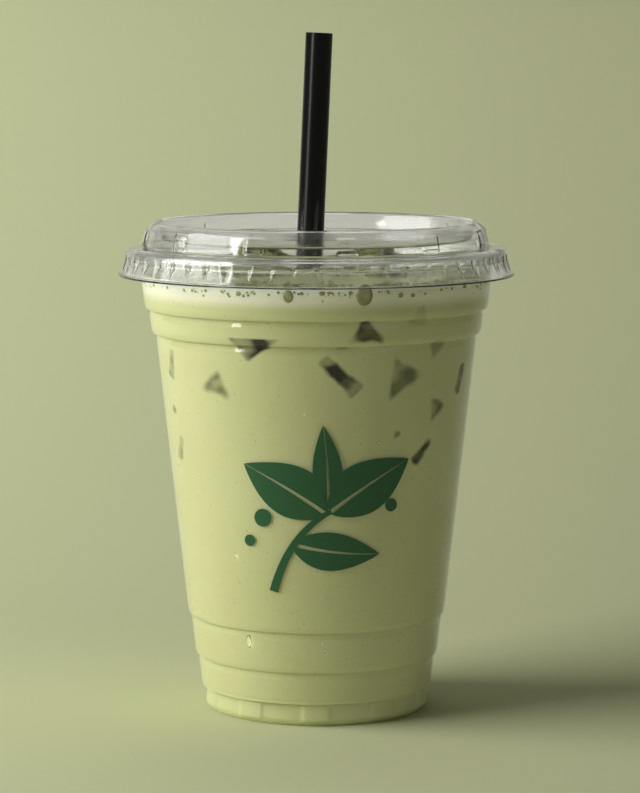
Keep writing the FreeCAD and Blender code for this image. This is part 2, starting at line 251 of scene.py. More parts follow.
def vector(tree, operation, *values):
    """Result of a vector math node on values or sockets: a length or distance, or else a
    vector."""
    inputs = {f"in{i}": value for i, value in enumerate(values)}
    node = add(tree, "ShaderNodeVectorMath", {"operation": operation}, **inputs)
    return node.outputs["Value" if operation in ("LENGTH", "DISTANCE") else "Vector"]


def noise(tree, place, width, output="Fac", **inputs):
    """Noise with patches of about a width in metres."""
    return add(tree, "ShaderNodeTexNoise", Vector=place, Scale=1 / width,
               **inputs).outputs[output]


def bumped(tree, height, strength, depth):
    """Normals of a relief, its depth in metres."""
    return add(tree, "ShaderNodeBump", Strength=strength, Distance=depth,
               Height=height).outputs[0]


def ramp(tree, value, start, end, first=0.0, last=1.0, kind="SMOOTHSTEP"):
    """Goes from first to last as a value goes from start to end."""
    return add(tree, "ShaderNodeMapRange", {"interpolation_type": kind}, Value=value,
               From_Min=start, From_Max=end, To_Min=first, To_Max=last).outputs[0]


def soft_ramp(tree, distance, start, end, first, last):
    """The same for a distance in metres, with start and end in millimetres."""
    return ramp(tree, distance, start * MM, end * MM, first, last)


def tone(colour):
    """A hex colour made linear, or a socket as it is."""
    return linear(colour) if isinstance(colour, str) else colour


def blend(tree, factor, first, second):
    """Colour that goes from first to second as the factor goes from 0 to 1."""
    return add(tree, "ShaderNodeMix", {"data_type": "RGBA"}, in0=factor, in6=tone(first),
               in7=tone(second)).outputs[2]


def principled(tree, colour, **inputs):
    """Principled shader of a colour, with its other sockets by name."""
    return add(tree, "ShaderNodeBsdfPrincipled", Base_Color=tone(colour), **inputs).outputs[0]


def transparent(tree, colour="#FFFFFF"):
    """Shader that lets light straight through, tinted."""
    return add(tree, "ShaderNodeBsdfTransparent", Color=tone(colour)).outputs[0]


def mix_shaders(tree, factor, first, second):
    """Shader that goes from first to second as the factor goes from 0 to 1."""
    return add(tree, "ShaderNodeMixShader", Fac=factor, in1=first, in2=second).outputs[0]


def finish_material(tree, shader, material):
    """Joins the shader to the material's output, and returns the material."""
    output = next(n for n in tree.nodes if n.type == "OUTPUT_MATERIAL")
    tree.links.new(shader, output.inputs["Surface"])
    return material


def object_place(tree):
    """Each point's place in the piece's own frame, in metres."""
    return add(tree, "ShaderNodeTexCoord").outputs["Object"]


# ---- cup --------------------------------------------------------------------------------

def wall_corners():
    """Outside of the cup's wall as (radius, height) corners, from the top of the foot to
    the neck under the curl: one taper all the way, with five steps added to it. Under
    a step the wall tucks in a little, then goes out over a short ledge and bulges into the
    band above."""
    neck = (RIM_RADIUS - 2 * CURL_RADIUS + CUP_WALL, CUP_HEIGHT - CURL_RADIUS)
    outs = [STEP_OUT + LUG_DEPTH, STEP_OUT, STEP_OUT, COLLAR_OUT, COLLAR_OUT]
    rises = [STEP_RISE] * 3 + [COLLAR_RISE] * 2
    taper = (neck[0] - FOOT_RADIUS - sum(outs)) / (neck[1] - FOOT_HEIGHT)
    radius, height = FOOT_RADIUS, FOOT_HEIGHT
    corners = [(radius, height)]
    for out, rise, band in zip(outs, rises, BANDS + (0.0,)):
        corners[-1] = (radius - UNDERCUT, height)
        corners.append((radius + LEDGE_OUT * out, height + LEDGE_RISE))
        radius, height = radius + taper * rise + out, height + rise
        corners.append((radius, height))
        if band:
            straight = band - BAND_ROUND
            corners.append((radius + taper * straight, height + band - BAND_ROUND))
            radius, height = radius + taper * band, height + band
            corners.append((radius, height))
    return corners + [neck]


WALL = np.array(wall_corners())
SOFT_WALL = soften(np.vstack([[FOOT_RADIUS, 0.0], WALL]), 0.3, 4)


def outside_radius(height):
    """Radius of the cup's outside at a height."""
    return np.interp(height, SOFT_WALL[:, 1], SOFT_WALL[:, 0])


def foot_panels(angle, height):
    """How far the foot's wall is pressed in: 0 on the lugs, and the lug's depth between
    them, in panels with rounded tops that run out at the stand ring."""
    pitch = TURN / LUG_COUNT
    off = np.abs((angle + pitch / 2) % pitch - pitch / 2)
    side = smooth_step((off - math.radians(LUG_ANGLE / 2)) / math.radians(2.2) + 0.5)
    low = smooth_step((height - 0.9) / 0.9)
    high = smooth_step((FOOT_HEIGHT + 0.5 - height) / 0.9)
    return side * low * high


def foot_offset(angle, height):
    """Radial offset of the foot band: the lugs stand out by their depth."""
    band = smooth_step((height - 0.9) / 0.9) * smooth_step((FOOT_HEIGHT + 0.9 - height) / 0.9)
    return LUG_DEPTH * (band - foot_panels(angle, height))


def foot_inside(gap):
    """Inside of the foot at a distance from its outside, as corners from its wall down into
    the stand ring and up over the pushed-up floor to the middle."""
    return np.array([
        (FOOT_RADIUS - gap, FOOT_ROUND), (FOOT_RADIUS - gap - 0.45, gap + 0.5),
        (RING_OUTSIDE - 0.1, gap), (RING_INSIDE, gap),
        (RING_INSIDE - PUNT_SLOPE, PUNT_RISE + gap), (0, PUNT_RISE + gap),
    ])


def make_cup(material):
    """Shell turned from a closed outline: pushed-up floor, stand ring, rounded foot, stepped
    outside, the curl's hollow side and outer side, then the inside at one wall's distance."""
    floor_edge = RING_INSIDE - PUNT_SLOPE
    under = soften(
        [(0, PUNT_RISE), (floor_edge, PUNT_RISE), (RING_INSIDE, 0), (RING_OUTSIDE, 0)], 0.8
    )
    foot = arc((RING_OUTSIDE, FOOT_ROUND), FOOT_ROUND, -90, 0, 7)
    wall = soften(np.vstack([foot[-1], WALL]), 0.3, 4)
    inside = soften(np.vstack([WALL[::-1] - [CUP_WALL, 0], foot_inside(CUP_WALL)]), 0.3, 4)
    curl_middle = (RIM_RADIUS - CURL_RADIUS, CUP_HEIGHT - CURL_RADIUS)
    hollow = arc(curl_middle, CURL_RADIUS - CUP_WALL, 180, -90, 15)
    over = arc(curl_middle, CURL_RADIUS, -90, 180, 17)
    outline = np.vstack([under, foot[1:], filled(wall, 5.0)[1:-1], hollow, over,
                         filled(inside, 5.0)[1:]])
    keep = np.ones(len(outline), bool)
    keep[1:] = np.linalg.norm(np.diff(outline, axis=0), axis=1) > 1e-4
    outline = outline[keep]
    foot_rows = filled(outline, 0.45)
    low = (outline[:, 1] < FOOT_HEIGHT + 1.2) & (outline[:, 0] > RING_INSIDE)
    near = (foot_rows[:, 1] < FOOT_HEIGHT + 1.2) & (foot_rows[:, 0] > RING_OUTSIDE - 0.5)
    outline = merged_rows(outline, low, foot_rows, near)
    angle = around(320)[None, :]
    radius, height = outline[:, :1], outline[:, 1:] + 0 * angle
    on_foot = (radius > RING_OUTSIDE - 0.6) & (height > 0.2)
    radius = radius + foot_offset(angle, height) * on_foot
    x, y = on_ring(radius, angle)
    away = smooth_step((radius - 5) / 10)
    wave = 0.02 * ripples(x, y, height, 22.0, 3) * away * smooth_step((height - 8) / 10)
    x, y = on_ring(radius + wave * (height < CUP_HEIGHT - 5), angle)
    return turned_piece("cup_shell", x, y, height, "poles", material)


def merged_rows(outline, low, fine, near):
    """The outline with its points near the foot replaced by finer ones, in order along it."""
    order = np.concatenate([[0], np.cumsum(np.linalg.norm(np.diff(outline, axis=0), axis=1))])
    fine_order = np.concatenate([[0], np.cumsum(np.linalg.norm(np.diff(fine, axis=0), axis=1))])
    places = np.concatenate([order[~low], order[low], fine_order[near]])
    points = np.vstack([outline[~low], outline[low], fine[near]])
    _, first = np.unique(np.round(places, 3), return_index=True)
    return points[first]


# ---- lid --------------------------------------------------------------------------------

CRIMPS = 54
CRIMP_COLUMNS = 12
RIBS = 12
SLOT_PLACE = -1.6
SLOT_RADIUS = 3.8
FLAP_REACH = 8.5
PANEL_TOP = FLANGE_TOP + RIDGE_HEIGHT - WELL_DEPTH


def make_lid(material):
    """Sheet of even thickness turned from its upper outline and its under outline, which
    join at the lip and at the straw's hole. Each ring's middle moves from the hole's to the
    cup's, so the panel runs evenly from the hole out."""
    bead_inside = RIM_RADIUS + LID_GAP
    bead_outside = bead_inside + LID_WALL
    bead = BEAD_ROUND
    skirt_low = FLANGE_TOP - SKIRT_DROP
    skirt = bead_outside + 1.35
    foot = RIM_RADIUS - 3.9
    shoulder = foot - 0.95
    crown_out = shoulder - 1.7
    crown_in = crown_out - 1.1
    well = crown_in - 1.4
    high, top = FLANGE_TOP + SHOULDER_HEIGHT, FLANGE_TOP + RIDGE_HEIGHT
    low_bead = (bead_outside + 0.12, FLANGE_TOP - 2 * bead)
    over = [(SLOT_RADIUS, PANEL_TOP), (FLAP_REACH, PANEL_TOP), (well, PANEL_TOP), (crown_in, top),
            (crown_out, top), (shoulder, high), (foot, FLANGE_TOP)]
    bead_arc = arc((bead_outside - bead, FLANGE_TOP - bead), bead, 90, 0, 8)
    skirt_line = [low_bead, (skirt, skirt_low + LID_WALL), (skirt + 0.5, skirt_low + LID_WALL),
                  (skirt + 0.5, skirt_low)]
    over = np.vstack([soften(np.vstack([over, bead_arc[:1]]), 0.6, 5)[:-1], bead_arc,
                      soften(np.vstack([bead_arc[-1:], skirt_line]), 0.25, 3)[1:]])
    under_bead = bead - LID_WALL
    under_arc = arc((bead_inside - under_bead, FLANGE_TOP - bead), under_bead, 0, 90, 7)
    under = [(foot - LID_WALL, FLANGE_TOP - LID_WALL), (shoulder - LID_WALL, high - 0.16),
             (crown_out - 0.12, top - LID_WALL), (crown_in + 0.28, top - LID_WALL),
             (well + 0.28, PANEL_TOP - LID_WALL), (FLAP_REACH, PANEL_TOP - LID_WALL),
             (SLOT_RADIUS, PANEL_TOP - LID_WALL)]
    under = np.vstack([
        [(skirt - LID_WALL, skirt_low)],
        [(bead_inside + 0.12, low_bead[1])],
        under_arc,
        soften(np.vstack([under_arc[-1:], under]), 0.6, 5)[1:],
    ])
    outline = spread_panel(np.vstack([filled(over, 0.9), filled(under, 0.9)]))[::-1]
    angle = around(CRIMPS * CRIMP_COLUMNS)[None, :]
    radius, height = outline[:, :1] + 0 * angle, outline[:, 1:] + 0 * angle
    radius = radius - crimp_depth(angle, height, outline[:, :1])
    radius = radius + rib_height(angle, height, outline[:, :1], foot, shoulder, high)
    middle = SLOT_PLACE * smooth_step((well - outline[:, :1]) / (well - SLOT_RADIUS))
    lift = flap_shape(angle, outline[:, :1])
    x, y = on_ring(radius, angle)
    wavy = 0.05 * ripples(x, y, height, 12.0, 6) * smooth_step((radius - well + 1) / 2)
    x, y = on_ring(radius + wavy * (radius < RIM_RADIUS - 3), angle)
    wave = 0.2 * ripples(x, y, 0 * x, 27.0, 5) * smooth_step((well + 1 - radius) / 6)
    height = height + lift + wave
    return turned_piece("lid_shell", x + middle, y, height, "loop", material)


def spread_panel(outline):
    """Thins out the rows of the flat panel, which needs few, and keeps the rest."""
    on_panel = (outline[:, 0] > 12) & (outline[:, 0] < 36) & (outline[:, 1] < PANEL_TOP + 0.1)
    on_panel &= outline[:, 1] > PANEL_TOP - LID_WALL - 0.1
    keep = ~on_panel | (np.arange(len(outline)) % 5 == 0)
    return outline[keep]


def crimp_depth(angle, height, ring):
    """Dents pinched into the skirt under the bead: each is wide at its top and comes to a
    point at its bottom, with creased sides."""
    pitch = TURN / CRIMPS
    off = np.abs((angle + pitch / 2) % pitch - pitch / 2) * RIM_RADIUS
    top, bottom = FLANGE_TOP - 2.4, FLANGE_TOP - 6.0
    share = np.clip((height - bottom) / (top - bottom), 0, 1)
    half_width = 1.4 * share
    inside = np.clip((half_width - off) / 0.5, 0, 1)
    band = smooth_step((height - bottom) / 0.5) * smooth_step((top + 0.5 - height) / 0.5)
    on_skirt = ring > RIM_RADIUS - 1.0
    return 0.55 * inside * band * on_skirt


def rib_height(angle, height, ring, foot, shoulder, high):
    """Upright ribs that stand out of the ridge's outside and into its inside."""
    pitch = TURN / RIBS
    shifted = angle - math.radians(10)
    off = np.abs((shifted + pitch / 2) % pitch - pitch / 2) * foot
    side = np.clip((2.5 - off) / 0.35, 0, 1)
    band = smooth_step((height - FLANGE_TOP - 0.2) / 0.5)
    band = band * smooth_step((high - 0.2 - height) / 0.6)
    on_ridge = (ring > shoulder - 1.0) & (ring < foot + 0.3)
    return 0.5 * side * band * on_ridge


def flap_shape(angle, ring):
    """The panel round the straw: four flaps, pressed down towards the hole, between crossed
    slits whose edges stay up."""
    share = smooth_step((FLAP_REACH - ring) / (FLAP_REACH - SLOT_RADIUS))
    slit = np.abs((angle + TURN / 8) % (TURN / 4) - TURN / 8) * ring
    edge = np.exp(-(slit / 0.5) ** 2)
    return share * (-0.9 + 1.5 * edge)


# ---- straw ------------------------------------------------------------------------------

STRAW_RADIUS = 3.5
STRAW_WALL = 0.3
STRAW_LEAN = math.radians(2.53)
STRAW_TOP = low_high("straw")[1][2]
STRAW_LENGTH = 173.5


def straw_axis(height):
    """x of the straw's axis at a height: it goes through the slot's middle."""
    return SLOT_PLACE + (height - PANEL_TOP + LID_WALL / 2) * math.tan(STRAW_LEAN)


def make_straw(material):
    """Tube from its outside, over its cut end, to its inside, as rings carried along a
    leaning axis, with both cut edges a little rounded."""
    radius, inner = STRAW_RADIUS, STRAW_RADIUS - STRAW_WALL
    loop = soften([(radius, 40), (radius, STRAW_LENGTH), (inner, STRAW_LENGTH), (inner, 0),
                   (radius, 0), (radius, 40)], 0.09, 4)
    loop = filled(loop, 12.0)[:-1]
    angle = around(96)[None, :]
    ring, along = loop[:, :1], loop[:, 1:]
    across, back = on_ring(ring, angle)
    end_height = STRAW_TOP - STRAW_RADIUS * math.sin(STRAW_LEAN)
    end = np.array([straw_axis(end_height), 0.0, end_height])
    gap = STRAW_LENGTH - along
    x = end[0] - gap * math.sin(STRAW_LEAN) + across * math.cos(STRAW_LEAN)
    y = back + 0 * gap
    z = end[2] - gap * math.cos(STRAW_LEAN) - across * math.sin(STRAW_LEAN)
    return turned_piece("straw_tube", x, y, z, "loop", material)


# ---- ice --------------------------------------------------------------------------------

ICE_SIDES = np.array([18.5, 15.0, 16.5])
ICE_EDGE = 3.0


def ice_turn(up, back, right):
    """Rotation by three angles in degrees: about +X first, then +Y, then +Z."""
    return np.array(
        Euler((math.radians(right), math.radians(back), math.radians(up)), "XYZ").to_matrix()
    )


FLOATING = {
    "ice_left": ice_turn(40, -30, 35),
    "ice_right": ice_turn(-22, -24, 42),
}


def block_distance(points, half, edge):
    """Distance to a block with rounded edges: the length of what lies past its core, less
    the edge's radius, and inside it the depth under the nearest face."""
    past = np.abs(points) - (half - edge)
    outside = np.linalg.norm(np.maximum(past, 0), axis=-1)
    inside = np.minimum(past.max(-1), 0)
    return outside + inside - edge


def make_floating_ice(node, material, seed):
    """Melted lump: rays from its middle meet a rounded block, found by halving, and the
    block is then dented by slow ripples and fine ones."""
    low, high = low_high(node)
    middle = (low + high) / 2
    turn = FLOATING[node]
    down = np.radians(np.linspace(0, 180, 73))[:, None]
    angle = around(112)[None, :]
    way = np.stack([np.sin(down) * np.sin(angle), -np.sin(down) * np.cos(angle),
                    np.cos(down) + 0 * angle], -1)
    local = way @ turn
    near, far = np.zeros(local.shape[:2]), np.full(local.shape[:2], 20.0)
    for _ in range(22):
        half_way = (near + far) / 2
        hit = block_distance(local * half_way[..., None], ICE_SIDES / 2, ICE_EDGE) > 0
        near, far = np.where(hit, near, half_way), np.where(hit, half_way, far)
    p = way * near[..., None]
    dent = 0.45 * ripples(p[..., 0], p[..., 1], p[..., 2], 9.0, seed)
    dent = dent + 0.16 * ripples(p[..., 0], p[..., 1], p[..., 2], 3.2, seed + 1)
    p = middle + way * (near + 0.35 + dent * 0.8)[..., None]
    p[..., 2] = np.minimum(p[..., 2], PANEL_TOP - LID_WALL - 0.25)
    return turned_piece(node + "_lump", p[::-1, :, 0], p[::-1, :, 1], p[::-1, :, 2],
                        "poles", material)


def inside_ice(x, y, z):
    """How deep each point lies in either floating lump, in millimetres, or 0."""
    deep = 0.0
    for node, turn in FLOATING.items():
        low, high = low_high(node)
        local = (np.stack([x, y, z], -1) - (low + high) / 2) @ turn
        deep = np.maximum(deep, -block_distance(local, ICE_SIDES / 2, ICE_EDGE))
    return np.maximum(deep, 0)


# ---- drink ------------------------------------------------------------------------------

def drink_surface(x, y):
    """Height of the drink: its level, slow ripples, a rise where it wets the wall and the
    straw, and hollows under the floating ice."""
    ring = np.hypot(x, y)
    wall = outside_radius(LEVEL) - CUP_WALL
    rise = 0.55 * np.exp(-np.maximum(wall - ring, 0) / 0.9)
    straw = np.hypot(x - straw_axis(LEVEL), y) - STRAW_RADIUS
    rise = rise + 0.7 * np.exp(-np.maximum(straw, 0) / 0.9)
    slow = 0.16 * ripples(x, y, 0 * x, 17.0, 11) + 0.05 * ripples(x, y, 0 * x, 5.0, 12)
    deep = inside_ice(x, y, LEVEL + 0 * x)
    hollow = 5.5 * smooth_step(deep / 3.0)
    return LEVEL - 0.25 + rise + slow - hollow


def make_drink(wall_material, top_material):
    """Body turned from the cup's inside, a little into the wall, with its top as rings from
    the wall to the middle whose height is the drink's surface."""
    inset = CUP_WALL - INTO_WALL
    corners = np.vstack([foot_inside(inset)[::-1], WALL - [inset, 0]])
    corners = corners[corners[:, 1] < LEVEL]
    edge = (outside_radius(LEVEL) - inset, LEVEL + 0.3)
    side = filled(soften(np.vstack([corners, [edge]]), 0.3, 4), 2.4)
    foot = filled(side, 0.5)
    low = (side[:, 1] < FOOT_HEIGHT + 1.2) & (side[:, 0] > FOOT_RADIUS - 2)
    near = (foot[:, 1] < FOOT_HEIGHT + 1.2) & (foot[:, 0] > FOOT_RADIUS - 2)
    side = merged_rows(side, low, foot, near)
    rings = np.linspace(edge[0], 0, 84)[1:]
    outline = np.vstack([side, np.stack([rings, 0 * rings + LEVEL], 1)])
    angle = around(384)[None, :]
    radius, height = outline[:, :1] + 0 * angle, outline[:, 1:] + 0 * angle
    on_foot = (outline[:, :1] > FOOT_RADIUS - 2) & (outline[:, 1:] > 0.9)
    radius = radius + foot_offset(angle, height) * on_foot
    x, y = on_ring(radius, angle)
    is_top = np.arange(len(outline)) >= len(side) - 1
    height = np.where(is_top[:, None], drink_surface(x, y), height)
    piece = turned_piece("milky_drink", x, y, height, "poles", wall_material, top_material)
    rows = len(outline) - 2
    columns = angle.shape[1]
    quad_rows = np.repeat(np.arange(rows - 1) + 1 >= len(side) - 1, columns)
    fans = np.concatenate([np.zeros(columns, bool), np.ones(columns, bool)])
    slots = np.concatenate([quad_rows, fans]).astype(np.int32)
    piece.data.polygons.foreach_set("material_index", slots)
    return piece


# Ice under the surface that comes up against the wall, where painted shade shows on the
# drink: angle and height of the middle, how the block is turned (0 a corner, 1 an edge, 2 a
# face towards the wall), its roll about the outward direction, half its side, how far it
# presses past the wall, how dark its painted shade is and how far its blur reaches. LOW_ICE
# lies under the step at SHOULDER and doesn't show above it, where the wall stands further out.
SHOULDER = 100.9
LOW_ICE = [
    (-22.6, 103.0, 2, -34, 5.8, 1.1, 1.0, 0.9),
    (-38.5, 88.5, 0, 192, 6.0, 1.8, 0.8, 1.4),
    (-64.5, 92.3, 1, 20, 3.7, 0.45, 0.8, 0.8),
    (-64.0, 70.5, 1, 18, 3.2, 0.4, 0.75, 0.8),
    (-66.5, 80.5, 0, 40, 5.0, 0.2, 0.6, 0.6),
    (8.4, 91.6, 1, -45, 6.1, 0.9, 1.0, 0.7),
    (31.8, 91.0, 0, 150, 6.5, 2.9, 0.75, 1.1),
    (46.8, 98.0, 0, 20, 6.5, 1.5, 0.5, 1.3),
    (64.5, 88.5, 1, 16, 3.8, 0.7, 0.95, 0.8),
    (49.5, 82.2, 0, 20, 6.5, 1.5, 0.85, 0.9),
    (43.8, 71.2, 1, 46, 3.8, 0.3, 1.0, 0.7),
    (30.9, 76.1, 0, 30, 4.0, 0.35, 0.85, 0.5),
    (92.0, 95.0, 1, 64, 6.0, 0.9, 0.95, 0.9),
    (108.0, 84.0, 0, 30, 6.5, 2.4, 0.85, 1.1),
    (124.0, 98.0, 2, 28, 5.2, 1.0, 0.8, 1.0),
    (143.0, 90.0, 1, -38, 5.0, 0.8, 1.0, 0.8),
    (168.0, 78.0, 0, 75, 6.0, 1.7, 0.8, 1.0),
    (187.0, 93.0, 0, 160, 6.5, 3.1, 0.9, 1.1),
    (205.0, 86.0, 1, 52, 4.5, 0.6, 0.95, 0.8),
    (222.0, 98.0, 1, -20, 5.0, 0.9, 0.9, 0.9),
    (240.0, 82.0, 0, 20, 6.0, 2.0, 0.8, 1.1),
    (258.0, 95.0, 0, 200, 6.0, 1.8, 0.7, 1.0),
    (272.0, 74.0, 1, 33, 3.8, 0.5, 0.8, 0.8),
]
HIGH_ICE = [
    (16.8, 102.6, 0, 178, 6.5, 2.3, 0.95, 0.8),
    (35.6, 106.2, 1, 4, 2.3, 0.5, 0.35, 0.9),
    (158.0, 104.5, 1, 12, 3.0, 0.5, 0.5, 1.0),
]
SUNK_EDGE = 0.7


def sunk_place(angle, height, side, roll, half, press):
    """Middle and Euler angles of a sunk block. It is first turned to bring a corner or an
    edge towards the viewer, rolled about that direction, and swung round to its angle."""
    to_front = {
        0: Euler((math.radians(35.26), 0, 0)).to_matrix() @ Euler((0, 0, math.pi / 4)).to_matrix(),
        1: Euler((0, 0, math.pi / 4)).to_matrix(),
        2: Euler((0, 0, 0)).to_matrix(),
    }[side]
    reach = math.sqrt(3 - side) * (half - SUNK_EDGE) + SUNK_EDGE
    rolled = Euler((0, math.radians(roll), 0)).to_matrix() @ to_front
    swung = Euler((0, 0, math.radians(angle))).to_matrix() @ rolled
    ring = outside_radius(height) - CUP_WALL + INTO_WALL + press - reach
    x, y = on_ring(ring, math.radians(angle))
    return Vector((x, y, height)) * MM, swung.to_euler("XYZ")


def sunk_ice_shade_mask(tree, place, blocks):
    """How strongly shade is painted on the drink at its wall where ice presses on it, from 0
    to 1: for each block, the distance from the point to the block, turned into a soft edge."""
    mask = None
    for angle, height, side, roll, half, press, strength, blur in blocks:
        middle, euler = sunk_place(angle, height, side, roll, half, press)
        core = (half - SUNK_EDGE) * MM
        local = add(tree, "ShaderNodeMapping", {"vector_type": "TEXTURE"}, Vector=place,
                    Location=middle, Rotation=euler).outputs[0]
        past = vector(tree, "SUBTRACT", vector(tree, "ABSOLUTE", local), (core,) * 3)
        gap = vector(tree, "LENGTH", vector(tree, "MAXIMUM", past, (0, 0, 0)))
        # Strength of the painted shade for this block, fading out over its blur.
        shown = soft_ramp(tree, gap, SUNK_EDGE - 0.2, SUNK_EDGE + blur, strength, 0.0)
        mask = shown if mask is None else number(tree, "MAXIMUM", mask, shown)
    return mask


def all_sunk_ice_shade(tree, place, up):
    """The painted shade's mask for the ice above the shoulder, and for the ice below it up
    to that height.
    """
    low = sunk_ice_shade_mask(tree, place, LOW_ICE)
    high = sunk_ice_shade_mask(tree, place, HIGH_ICE)
    below = soft_ramp(tree, up, SHOULDER - 0.5, SHOULDER, 1.0, 0.0)
    return number(tree, "MAXIMUM", number(tree, "MULTIPLY", low, below), high)


# ---- bubbles and drops --------------------------------------------------------------------

def unit_ball(rings, columns):
    """Points and faces of a ball of radius 1 with closed poles, poles along the third
    axis."""
    down = np.radians(np.linspace(0, 180, rings + 1))[1:-1, None]
    angle = around(columns)[None, :]
    points = np.stack([np.sin(down) * np.cos(angle), np.sin(down) * np.sin(angle),
                       np.cos(down) + 0 * angle], -1).reshape(-1, 3)
    count = len(points)
    points = np.vstack([points, [(0, 0, 1), (0, 0, -1)]])
    j = np.arange(columns)
    right = (j + 1) % columns
    last = count - columns
    top = np.stack([np.full(columns, count), j, right], 1)
    bottom = np.stack([np.full(columns, count + 1), last + right, last + j], 1)
    return points, [quads(rings - 1, columns)[:, ::-1], top, bottom]


def copies(points, faces, count):
    """The faces of a shape, repeated for count copies of its points."""
    shift = (np.arange(count) * len(points))[:, None, None]
    return [(np.asarray(part)[None] + shift).reshape(-1, np.asarray(part).shape[1])
            for part in faces]


def on_wall(angle, height, along, up, out, radius_at):
    """Points beside places on the wall: along it, up it and out of it, in millimetres."""
    base = radius_at(height + up)
    turned = angle + along / base
    x, y = on_ring(base + out, turned)
    return np.stack([x, y, height + up + 0 * x], -1)


def drink_radius(height):
    """Radius of the drink's side, a little inside the cup's wall, at a height."""
    return outside_radius(height) - CUP_WALL + INTO_WALL


def make_wall_bubbles(material):
    """Bubbles of foam pressed flat against the wall just under the waterline: discs on the
    drink's side, each a very flat ball, some in bunches, with a few large ones."""
    rng = np.random.default_rng(21)
    count = 190
    angle = rng.uniform(0, TURN, count)
    bunch = rng.integers(0, 30, count)
    centres = rng.uniform(0, TURN, 30)
    angle = np.where(rng.random(count) < 0.4, centres[bunch] + rng.normal(0, 0.08, count), angle)
    height = LEVEL - 0.45 - np.abs(rng.normal(0, 0.7, count))
    size = 0.16 + rng.gamma(1.4, 0.15, count)
    angle = np.concatenate([angle, np.radians([-8.8, 15.3, 96, 171, 238])])
    height = np.concatenate([height, [111.6, 111.7, 111.5, 111.8, 111.6]])
    size = np.concatenate([size, [1.35, 2.2, 1.7, 1.2, 2.0]])
    tall = np.where(size > 1, 1.25, 0.85)
    ball, faces = unit_ball(5, 12)
    u, v, w = (ball[None, :, i] * size[:, None] for i in range(3))
    points = on_wall(angle[:, None], height[:, None], u, v * tall[:, None],
                     w / size[:, None] * 0.05, drink_radius)
    return piece_from("wall_bubbles", points, copies(ball, faces, len(size)), material)


FROTH_TRIES, FROTH_BUBBLES = 2600, 900


def make_froth(material):
    """Bubbles that float on the drink: balls half sunk in it, thickest round the wall, in
    patches, and kept clear of the ice and the straw."""
    rng = np.random.default_rng(8)
    count = FROTH_TRIES
    ring = drink_radius(LEVEL) - 0.9 - np.abs(rng.normal(0, 6.0, count))
    angle = rng.uniform(0, TURN, count)
    x, y = on_ring(ring, angle)
    size = np.minimum(0.2 + rng.gamma(1.5, 0.17, count), 1.5)
    clear = inside_ice(x, y, LEVEL + 0 * x) <= 0
    clear &= np.hypot(x - straw_axis(LEVEL), y) > STRAW_RADIUS + size
    clear &= ring + size < drink_radius(LEVEL) - 0.6
    patchy = ripples(x, y, 0 * x, 16.0, 31) > -0.25
    keep = np.flatnonzero(clear & patchy)[:FROTH_BUBBLES]
    x, y, size = x[keep], y[keep], size[keep]
    z = drink_surface(x, y) + 0.15 * size
    ball, faces = unit_ball(6, 12)
    points = np.stack([x, y, z], -1)[:, None] + ball[None] * size[:, None, None]
    return piece_from("froth_bubbles", points, copies(ball, faces, len(size)), material)


def make_drops(material):
    """Condensation on the cup: flattened balls half sunk in the wall's outside, from mist
    to a few drops that have run together, longer than wide where they are large."""
    rng = np.random.default_rng(5)
    count = 3000
    angle = rng.uniform(0, TURN, count)
    height = rng.uniform(9, 112, count)
    size = 0.07 + rng.gamma(1.3, 0.036, count)
    big = 9
    angle = np.concatenate([angle, rng.uniform(0, TURN, big), [math.radians(-31.7)]])
    height = np.concatenate([height, rng.uniform(14, 100, big), [22.0]])
    size = np.concatenate([size, rng.uniform(0.4, 0.6, big), [0.85]])
    tall = 1.0 + np.clip(size - 0.3, 0, 1) * rng.uniform(0.6, 2.2, len(size))
    ball, faces = unit_ball(4, 8)
    u, v, w = (ball[None, :, i] * size[:, None] for i in range(3))
    points = on_wall(angle[:, None], height[:, None], u, v * tall[:, None], w * 0.22,
                     outside_radius)
    return piece_from("wall_drops", points, copies(ball, faces, len(size)), material)


# ---- print --------------------------------------------------------------------------------

PRINT_ANGLE = math.radians(3.5)
PRINT_HEIGHT = 59.5


def leaf(start, way, length, width, bend, slit):
    """The two halves of a leaf, as grids of (across, up) points. Its middle line starts
    straight and curves off by bend, its half width is a sine with its fullest part nearer
    the stalk, and a slit of bare cup runs along the middle line, narrowing to the tip."""
    u = np.linspace(0, 1, 33)[:, None]
    v = np.linspace(0, 1, 7)[None, :]
    aim = math.radians(way)
    forward = np.array([math.cos(aim), math.sin(aim)])
    aside = np.array([-math.sin(aim), math.cos(aim)])
    full = width / 2 * np.sin(math.pi * u ** 0.82) ** 0.9
    gap = slit / 2 * (1 - u) ** 0.7
    halves = []
    for sign in (1, -1):
        across = bend * u ** 2 + sign * (np.minimum(gap, full) + (np.maximum(full - gap, 0)) * v)
        halves.append(np.array(start) + (length * u)[..., None] * forward
                      + across[..., None] * aside)
    return halves


def stalk(points, width):
    """Band along a quadratic curve through three control points, a little narrower towards
    its end."""
    p0, p1, p2 = (np.array(p, float) for p in points)
    u = np.linspace(0, 1, 41)[:, None]
    line = (1 - u) ** 2 * p0 + 2 * u * (1 - u) * p1 + u ** 2 * p2
    run = 2 * (1 - u) * (p1 - p0) + 2 * u * (p2 - p1)
    run /= np.linalg.norm(run, axis=1, keepdims=True)
    aside = np.stack([-run[:, 1], run[:, 0]], 1)
    v = np.linspace(-1, 1, 5)[None, :, None]
    half = width / 2 * (1 - 0.45 * u)
    return line[:, None] + aside[:, None] * v * half[:, None]


def spot(middle, radius):
    """Round spot: a square grid drawn in to a disc, each coordinate times the root of one
    less half the other's square."""
    u = np.linspace(-1, 1, 11)[None, :]
    v = np.linspace(-1, 1, 11)[:, None]
    across, up = u * np.sqrt(1 - v ** 2 / 2), v * np.sqrt(1 - u ** 2 / 2)
    return np.array(middle) + radius * np.stack([across, up], -1)


